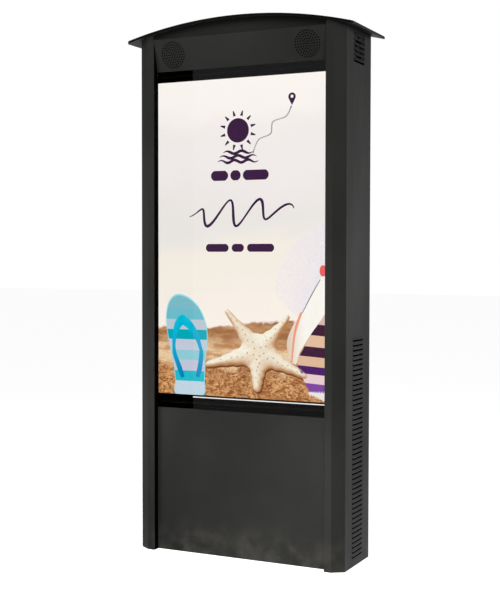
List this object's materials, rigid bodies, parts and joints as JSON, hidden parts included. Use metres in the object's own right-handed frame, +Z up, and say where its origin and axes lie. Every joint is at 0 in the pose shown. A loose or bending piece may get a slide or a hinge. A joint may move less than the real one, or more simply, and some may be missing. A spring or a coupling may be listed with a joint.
{
  "type": "touchscreen kiosk",
  "caption": "Free-standing outdoor touch kiosk: portrait display behind flush glass, chamfered side posts with louvres, tilted speaker panel, curved canopy and a lockable rear service door.",
  "frame": {"origin": "on the floor, under the centre of the canopy's outline, which is the whole kiosk's box", "axes": "+X to the right of a person who faces the screen, +Y from the front to the back, +Z up"},
  "size_m": [0.9404, 0.345, 2.0523],
  "materials": {
    "black_powder_coat": "satin, fine-textured black powder coat",
    "zinc_steel": "zinc-plated steel, satin",
    "bright_steel": "brushed stainless steel",
    "front_glass": "clear toughened glass with a black printed border, over a lit picture",
    "rubber": "black sponge rubber",
    "display": "lit picture seen through the bonded front glass",
    "dark_plastic": "moulded black plastic",
    "grey_plastic": "light grey moulded plastic",
    "red_plastic": "red moulded plastic",
    "circuit_board": "green solder mask",
    "speaker_cone": "black pressed paper",
    "filter_mat": "grey filter fleece"
  },
  "bodies": {
    "cabinet": {"side_panel_left": "black_powder_coat", "side_panel_right": "black_powder_coat", "roof_canopy": "black_powder_coat", "arch_fascia": "black_powder_coat", "speaker_panel": "black_powder_coat", "lower_front_panel": "black_powder_coat", "rear_header": "black_powder_coat", "rear_sill": "black_powder_coat", "roof_rib_front": "zinc_steel", "roof_rib_rear": "zinc_steel", "base_plate": "zinc_steel", "chassis_upright_left": "zinc_steel", "chassis_upright_right": "zinc_steel", "chassis_rail_bottom": "zinc_steel", "chassis_rail_top": "zinc_steel", "display_rail_lower": "zinc_steel", "display_rail_upper": "zinc_steel", "equipment_plate": "zinc_steel", "touch_glass": "front_glass", "display_module": "display", "glass_gasket": "rubber", "speaker_basket_left": "dark_plastic", "speaker_basket_right": "dark_plastic", "fan_housing_left": "dark_plastic", "fan_housing_right": "dark_plastic", "filter_cassette_left": "filter_mat", "filter_cassette_right": "filter_mat", "media_player": "dark_plastic", "power_supply": "bright_steel", "display_driver_board": "circuit_board", "touch_controller": "circuit_board", "audio_amplifier": "circuit_board", "din_rail": "bright_steel", "main_switch": "grey_plastic", "surge_protector": "grey_plastic", "thermostat": "grey_plastic", "mains_gland": "dark_plastic", "earth_stud": "bright_steel", "door_gasket": "rubber", "hinge_frame_bottom": "zinc_steel", "hinge_frame_middle": "zinc_steel", "hinge_frame_top": "zinc_steel"},
    "door": {"rear_door": "black_powder_coat", "door_stiffener": "zinc_steel", "hinge_door_bottom": "zinc_steel", "hinge_door_middle": "zinc_steel", "hinge_door_top": "zinc_steel", "lock_case": "zinc_steel", "lock_escutcheon": "bright_steel"},
    "handle": {"lock_handle": "bright_steel", "lock_cam": "bright_steel"},
    "key": {"key_cylinder": "bright_steel"},
    "upper_rod": {"lock_rod_upper": "zinc_steel"},
    "lower_rod": {"lock_rod_lower": "zinc_steel"},
    "left_fan": {"fan_impeller_left": "dark_plastic"},
    "right_fan": {"fan_impeller_right": "dark_plastic"},
    "left_cone": {"speaker_cone_left": "speaker_cone"},
    "right_cone": {"speaker_cone_right": "speaker_cone"},
    "switch_lever": {"main_switch_lever": "red_plastic"}
  },
  "joints": [
    {"name": "rear_door_swing", "type": "hinge", "parent": "cabinet", "child": "door", "pos_m": [-0.4098, 0.1308, 0.995], "axis": [0, 0, 1], "range_deg": [0, 110]},
    {"name": "lock_handle_turn", "type": "hinge", "parent": "door", "child": "handle", "pos_m": [0.345, 0.1378, 1], "axis": [0, -1, 0], "range_deg": [0, 90]},
    {"name": "key_turn", "type": "hinge", "parent": "handle", "child": "key", "pos_m": [0.345, 0.1378, 1], "axis": [0, -1, 0], "range_deg": [0, 90]},
    {"name": "upper_rod_slide", "type": "slide", "parent": "door", "child": "upper_rod", "axis": [0, 0, 1], "range_m": [0, 0.0201]},
    {"name": "lower_rod_slide", "type": "slide", "parent": "door", "child": "lower_rod", "axis": [0, 0, -1], "range_m": [0, 0.0201]},
    {"name": "left_fan_spin", "type": "hinge", "parent": "cabinet", "child": "left_fan", "pos_m": [-0.4171, -0.005, 1.92], "axis": [-1, 0, 0], "continuous": true},
    {"name": "right_fan_spin", "type": "hinge", "parent": "cabinet", "child": "right_fan", "pos_m": [0.4171, -0.005, 1.92], "axis": [1, 0, 0], "continuous": true},
    {"name": "left_cone_travel", "type": "slide", "parent": "cabinet", "child": "left_cone", "axis": [0, -0.9709, -0.2393], "range_m": [-0.0015, 0.0015], "stiffness_N_per_m": 1500},
    {"name": "right_cone_travel", "type": "slide", "parent": "cabinet", "child": "right_cone", "axis": [0, -0.9709, -0.2393], "range_m": [-0.0015, 0.0015], "stiffness_N_per_m": 1500},
    {"name": "main_switch_tip", "type": "hinge", "parent": "cabinet", "child": "switch_lever", "pos_m": [0.098, 0.005, 0.3175], "axis": [-1, 0, 0], "range_deg": [0, 60]}
  ],
  "couplings": [
    {"joint": "upper_rod_slide", "follows": "lock_handle_turn", "m_per_rad": 0.012732},
    {"joint": "lower_rod_slide", "follows": "lock_handle_turn", "m_per_rad": 0.012732}
  ]
}
